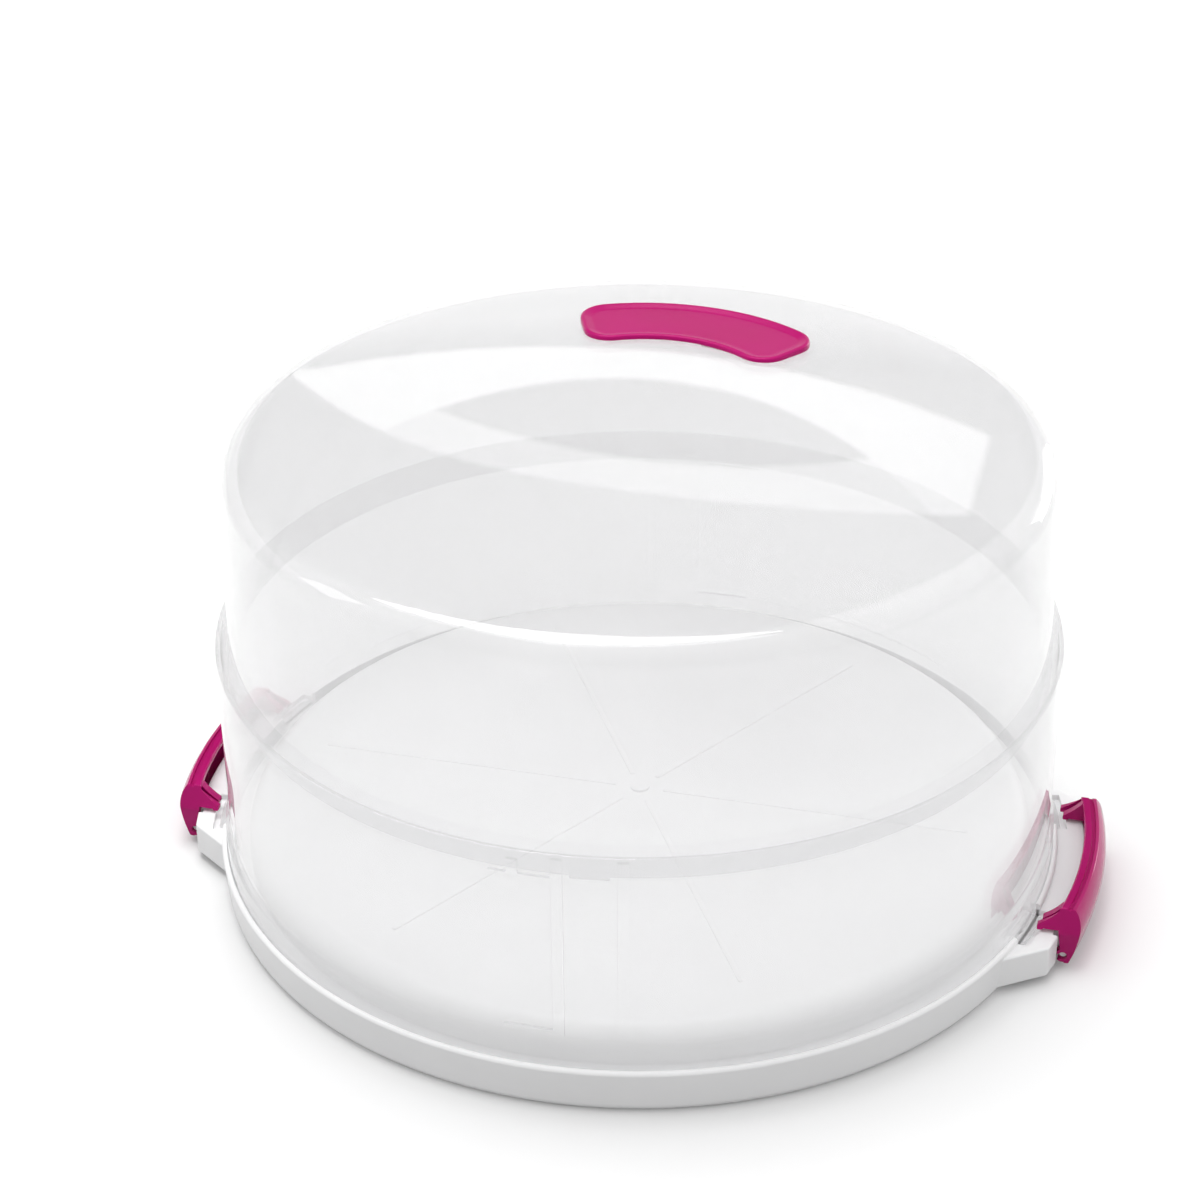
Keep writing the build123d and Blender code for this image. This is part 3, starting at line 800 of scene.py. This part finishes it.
def ring_wall():
    """Straight wall on its thicker foot band."""
    inner = RING_R - RING_WALL
    outline = rounded([
        (BAND_R - RING_WALL, GROOVE_FLOOR, 0.5),
        (BAND_R, GROOVE_FLOOR, 0.5),
        (BAND_R, BAND_TOP, 0.8),
        (RING_R, BAND_TOP + BAND_SLOPE, 1.2),
        (RING_R, RING_TOP, 0.7),
        (inner, RING_TOP, 0.7),
        (inner, BAND_TOP + BAND_SLOPE - RING_WALL, 0.8),
        (BAND_R - RING_WALL, BAND_TOP - RING_WALL, 1.2),
    ], 5)
    return turned("clear_ring", outline)


ring = ring_wall()
combine(ring, round_copies(rail_pieces(), 2), "UNION")
for side in (1, -1):
    combine(ring, round_copies(catch_tab(side), 2), "UNION")
place(smooth(ring), "ring", "clear_plastic", CLEAR, "lower_ring")


# ---------------------------------------------------------------- dome
def lid_z(radius):
    """Height of the lid's outer face."""
    sphere = CROWN_SPHERE_R
    return LID_EDGE_Z + math.sqrt(sphere ** 2 - radius ** 2) - math.sqrt(sphere ** 2 - LID_EDGE_R ** 2)


def dome_shell():
    """Slightly tapered wall, round shoulder and gently domed lid."""
    crown = [LID_EDGE_R * step / CROWN_STEPS for step in range(CROWN_STEPS)]
    outline = [(radius, lid_z(radius) - DOME_WALL) for radius in crown]
    outline += arc((LID_EDGE_R, SHOULDER_Z), SHOULDER_R - DOME_WALL, 90, 0, 16)
    outline += rounded([
        (SHOULDER_SIDE_R - DOME_WALL, SHOULDER_Z, 0),
        (DOME_R - DOME_WALL, DOME_BOTTOM, 0.6),
        (DOME_R, DOME_BOTTOM, 0.6),
        (SHOULDER_SIDE_R, SHOULDER_Z, 0),
    ], 5)[1:-1]
    outline += arc((LID_EDGE_R, SHOULDER_Z), SHOULDER_R, 0, 90, 20)
    outline += [(radius, lid_z(radius)) for radius in reversed(crown)]
    return turned("clear_dome", outline, closed=False)


def grip_point(u, v):
    """A point of the grip's own plan, placed on the lid."""
    angle = math.radians(GRIP_TURN)
    x = GRIP_X + u * math.cos(angle) - v * math.sin(angle)
    y = GRIP_Y + u * math.sin(angle) + v * math.cos(angle)
    return x, y


dome = dome_shell()
lug = wedge("lug", DOME_R - 1, LUG_R, DOME_BOTTOM, DOME_BOTTOM + LUG_HEIGHT, *LUG_ANGLES, 6)
combine(dome, round_copies(soften(lug, 0.4, 2), 2), "UNION")
for side in (1, -1):
    hole = circle(grip_point(side * PEG_U, PEG_V), PEG_R + PEG_CLEARANCE, 32)
    combine(dome, prism("hole", hole, 180, 210), "DIFFERENCE")
place(smooth(dome), "dome", "clear_plastic", CLEAR, "upper_dome")


# ---------------------------------------------------------------- grip
def crescent(inset, steps_long=40, steps_corner=8):
    """Crescent outline moved in by inset, always with the same number of points."""
    half = GRIP_WIDTH / 2
    big = (0.0, half - GRIP_OUTER_R)
    small = (0.0, -half - GRIP_INNER_R)
    big_r = GRIP_OUTER_R - inset
    small_r = GRIP_INNER_R + inset
    lean = math.radians(GRIP_END_LEAN)
    fan_tip = PEG_V - GRIP_HALF_LENGTH / math.tan(lean) + inset / math.sin(lean)
    along = Vector((math.sin(lean), math.cos(lean)))
    across = Vector((-math.cos(lean), math.sin(lean)))
    tip = Vector((0, fan_tip))
    big_corner = GRIP_BIG_CORNER - inset
    small_corner = GRIP_SMALL_CORNER - inset

    def corner(centre, radius, size, sign):
        """Centre of a corner circle that touches an end line and one of the two arcs."""
        base = tip + across * size
        offset = base - Vector(centre)
        middle = along.dot(offset)
        rest = offset.length_squared - (radius - sign * size) ** 2
        return base + along * (-middle + math.sqrt(middle ** 2 - rest))

    high = corner(big, big_r, big_corner, 1)
    low = corner(small, small_r, small_corner, -1)

    def angle_of(vector):
        """Direction in degrees."""
        return math.degrees(math.atan2(vector.y, vector.x))

    side_angle = angle_of(-across)
    big_angle = angle_of(high - Vector(big))
    small_angle = angle_of(low - Vector(small))
    outline = arc(small, small_r, 180 - small_angle, small_angle, steps_long)
    outline += arc(low, small_corner, small_angle - 180, side_angle, steps_corner)
    outline += arc(high, big_corner, side_angle, big_angle, steps_corner)
    outline += arc(big, big_r, big_angle, 180 - big_angle, steps_long)
    mirrored = arc(high, big_corner, side_angle, big_angle, steps_corner)[::-1]
    outline += [(-x, y) for x, y in mirrored]
    mirrored = arc(low, small_corner, small_angle - 180, side_angle, steps_corner)[::-1]
    outline += [(-x, y) for x, y in mirrored]
    return outline


def grip_body():
    """Soft-edged crescent with a sloping border round a flat dish."""
    top = lid_z(GRIP_Y) + GRIP_TOP
    # Distance in from the outline, and height; None follows the lid
    levels = [
        (0.00, None), (0.00, top - 1.3), (0.10, top - 0.75), (0.35, top - 0.38), (0.75, top - 0.12),
        (1.30, top), (1.70, top - 0.04), (2.60, top - 0.32), (3.70, top - 0.72), (4.50, top - 0.98),
        (5.10, top - 1.08), (5.80, top - 1.10),
    ]
    points = []
    for inset, height in levels:
        for u, v in crescent(inset):
            x, y = grip_point(u, v)
            points.append((x, y, lid_z(math.hypot(x, y)) + 0.06 if height is None else height))
    return skinned("top_grip_body", points, len(crescent(0)))


def pegs():
    """The two pegs under the grip, which pass through the lid."""
    made = []
    for side in (1, -1):
        x, y = grip_point(side * PEG_U, PEG_V)
        peg = prism("peg", circle((x, y), PEG_R, 32), PEG_BOTTOM, lid_z(math.hypot(x, y)) + 0.5)
        made.append(soften(peg, 0.4, 3, 50))
    return joined("grip_pegs", made)


place(smooth(grip_body(), 50), "dome", "magenta_plastic", SATIN_MAGENTA, "top_grip")
place(smooth(pegs()), "dome", "magenta_plastic", SATIN_MAGENTA)


# ---------------------------------------------------------------- backing plate and clips
def round_ridge(obj):
    """Round the long outer edge of a clip's top band."""
    mesh = obj.data
    weights = mesh.attributes.new("bevel_weight_edge", "FLOAT", "EDGE")
    for edge in mesh.edges:
        ends = [mesh.vertices[number].co for number in edge.vertices]
        away = max(abs(math.hypot(end.x, end.y) / MM - RIDGE_R) for end in ends)
        low = min(end.z / MM for end in ends)
        if away < 0.25 and low > CLIP_TOP - 0.6:
            weights.data[edge.index].value = 1.0
    bevel = obj.modifiers.new("round ridge", "BEVEL")
    bevel.limit_method = "WEIGHT"
    bevel.width = RIDGE_ROUND * MM
    bevel.segments = 6
    return bake(obj)


def refined(node, name, width):
    """A copy of a CAD node with merged points, its flat faces cut afresh and its edges rounded."""
    obj = add_object(name, frame["nodes"][node].data.copy())
    made = bmesh.new()
    made.from_mesh(obj.data)
    bmesh.ops.remove_doubles(made, verts=made.verts, dist=2e-6)
    bmesh.ops.dissolve_limit(
        made, angle_limit=math.radians(0.6), verts=made.verts, edges=made.edges,
    )
    bmesh.ops.triangulate(made, faces=made.faces)
    clean = bpy.data.meshes.new(name)
    made.to_mesh(clean)
    made.free()
    clean.materials.clear()
    if clean.attributes.get("custom_normal"):
        clean.attributes.remove(clean.attributes["custom_normal"])
    obj.data = clean
    if node != "grip_backing":
        round_ridge(obj)
    return soften(obj, width, 3, 30)


plate = refined("grip_backing", "backing_plate", 0.25)
place(smooth(plate), "dome", "magenta_plastic", SATIN_MAGENTA, "grip_backing")
for end in ("right", "left"):
    bar = refined(f"clip_{end}", f"{end}_clip_bar", 0.4)
    place(smooth(bar), f"{end}_clip", "magenta_plastic", GLOSSY_MAGENTA, f"clip_{end}")


# ---------------------------------------------------------------- floor, light and camera
def floor():
    """Wide white sheet, whose soft shadow stays while the rest reads as white."""
    reach = FLOOR_HALF
    corners = [(-reach, -reach, 0), (reach, -reach, 0), (reach, reach, 0), (-reach, reach, 0)]
    obj = mesh_object("floor", corners, [[0, 1, 2, 3]])
    material, shader, output = new_material("floor_white")
    shader.inputs["Roughness"].default_value = 0.7
    shader.inputs["Specular IOR Level"].default_value = 0.2
    nodes = material.node_tree.nodes
    link = material.node_tree.links.new
    path = nodes.new("ShaderNodeLightPath")
    seen = nodes.new("ShaderNodeMath")
    seen.operation = "MAXIMUM"
    link(path.outputs["Is Camera Ray"], seen.inputs[0])
    link(path.outputs["Is Glossy Ray"], seen.inputs[1])
    grey = nodes.new("ShaderNodeMapRange")
    grey.inputs["To Min"].default_value = FLOOR_BOUNCE
    grey.inputs["To Max"].default_value = FLOOR_SEEN
    link(seen.outputs[0], grey.inputs["Value"])
    link(grey.outputs[0], shader.inputs["Base Color"])
    glow = nodes.new("ShaderNodeEmission")
    glow.inputs["Color"].default_value = (1, 1, 1, 1)
    lift = nodes.new("ShaderNodeMath")
    lift.operation = "MULTIPLY"
    lift.inputs[1].default_value = FLOOR_LIFT
    link(seen.outputs[0], lift.inputs[0])
    link(lift.outputs[0], glow.inputs["Strength"])
    both = nodes.new("ShaderNodeAddShader")
    link(shader.outputs[0], both.inputs[0])
    link(glow.outputs[0], both.inputs[1])
    link(both.outputs[0], output.inputs["Surface"])
    obj.data.materials.append(material)


def world():
    """Pale surroundings, dim high up behind, where a curved light panel hangs; white to the camera."""
    made = bpy.data.worlds.new("studio")
    bpy.context.scene.world = made
    made.use_nodes = True
    nodes = made.node_tree.nodes
    link = made.node_tree.links.new
    nodes.clear()

    def maths(operation, *values):
        """The result of one sum."""
        node = nodes.new("ShaderNodeMath")
        node.operation = operation
        for number, value in enumerate(values):
            if isinstance(value, bpy.types.NodeSocket):
                link(value, node.inputs[number])
            else:
                node.inputs[number].default_value = value
        return node.outputs[0]

    def ramp(value, start, end):
        """0 at start and before, 1 at end and beyond."""
        node = nodes.new("ShaderNodeMapRange")
        link(value, node.inputs["Value"])
        node.inputs["From Min"].default_value = start
        node.inputs["From Max"].default_value = end
        return node.outputs[0]

    direction = nodes.new("ShaderNodeTexCoord")
    parts = nodes.new("ShaderNodeSeparateXYZ")
    link(direction.outputs["Generated"], parts.inputs[0])
    across, depth, height = parts.outputs

    def above(level, middle, bend, droop=0.0):
        """1 above a curve whose height is level + bend * offset ** 2 - droop * offset ** 6, else 0."""
        offset = maths("SUBTRACT", across, middle)
        squared = maths("MULTIPLY", offset, offset)
        curve = maths("MULTIPLY_ADD", squared, bend, level)
        curve = maths("SUBTRACT", curve, maths("MULTIPLY", maths("POWER", squared, 3.0), droop))
        return ramp(maths("SUBTRACT", height, curve), -0.002, 0.002)

    dim = maths("MULTIPLY", ramp(depth, *DIM_DEPTH), ramp(height, *DIM_HEIGHT))
    dim = maths("MULTIPLY", dim, ramp(across, *DIM_SIDE))
    pale = maths("MULTIPLY_ADD", maths("MULTIPLY", across, across), SIDE_LIGHT, PALE_LIGHT)
    fall = maths("MULTIPLY", dim, maths("SUBTRACT", pale, DIM_LIGHT))
    plain = maths("SUBTRACT", pale, fall)
    left_end = ramp(across, PANEL_LEFT - 0.002, PANEL_LEFT + 0.002)
    right_end = ramp(across, PANEL_RIGHT + 0.002, PANEL_RIGHT - 0.002)
    ends = maths("MULTIPLY", maths("MULTIPLY", left_end, right_end), ramp(depth, 0.4, 0.5))
    sheet = maths("MULTIPLY", ends, maths("SUBTRACT", above(*PANEL_BOTTOM), above(*PANEL_TOP)))
    past_bottom = above(*OPENING_BOTTOM)
    past_both = maths("MULTIPLY", past_bottom, above(*OPENING_TOP))
    opening = maths("SUBTRACT", past_bottom, past_both)
    low = maths("SUBTRACT", 1.0, past_bottom)
    panel = maths("MULTIPLY", sheet, maths("SUBTRACT", 1.0, opening))
    panel = maths("MULTIPLY", panel, maths("MULTIPLY_ADD", low, PANEL_LOW, PANEL_LIGHT))
    total = maths("ADD", plain, panel)
    path = nodes.new("ShaderNodeLightPath")
    unseen = maths("SUBTRACT", 1.0, path.outputs["Is Camera Ray"])
    strength = maths("MULTIPLY_ADD", total, unseen, path.outputs["Is Camera Ray"])
    sky = nodes.new("ShaderNodeBackground")
    sky.inputs["Color"].default_value = (1, 1, 1, 1)
    link(strength, sky.inputs["Strength"])
    output = nodes.new("ShaderNodeOutputWorld")
    link(sky.outputs[0], output.inputs["Surface"])


def softbox(name, place_at, aim, width, depth, brightness):
    """Rectangular lamp, whose output follows its area."""
    lamp = bpy.data.lights.new(name, "AREA")
    lamp.shape = "RECTANGLE"
    lamp.size = width
    lamp.size_y = depth
    lamp.energy = brightness * math.pi * width * depth
    obj = bpy.data.objects.new(name, lamp)
    obj.location = place_at
    obj.rotation_euler = (Vector(aim) - Vector(place_at)).to_track_quat("-Z", "Y").to_euler()
    bpy.context.scene.collection.objects.link(obj)


def camera():
    """Camera that looks down on the carrier from the front."""
    elevation = math.radians(CAMERA_ELEVATION)
    azimuth = math.radians(CAMERA_AZIMUTH)
    lens = bpy.data.cameras.new("camera")
    lens.sensor_width = SENSOR
    lens.lens = FOCAL_PIXELS / PICTURE_PIXELS * SENSOR
    lens.shift_x = (PICTURE_PIXELS / 2 - AXIS_PIXEL) / PICTURE_PIXELS
    lens.clip_start = 0.05
    lens.clip_end = 50
    obj = bpy.data.objects.new("camera", lens)
    away = CAMERA_DISTANCE * math.cos(elevation)
    height = CAMERA_BASE_HEIGHT + CAMERA_DISTANCE * math.sin(elevation)
    obj.location = (away * math.cos(azimuth), away * math.sin(azimuth), height)
    fall = math.tan(math.radians(CAMERA_PITCH))
    toward = Vector((-math.cos(azimuth), -math.sin(azimuth), -fall))
    obj.rotation_euler = toward.to_track_quat("-Z", "Y").to_euler()
    bpy.context.scene.collection.objects.link(obj)
    bpy.context.scene.camera = obj


floor()
world()
for box in SOFTBOXES:
    softbox(*box)
camera()
bpy.context.scene.view_settings.view_transform = "Standard"
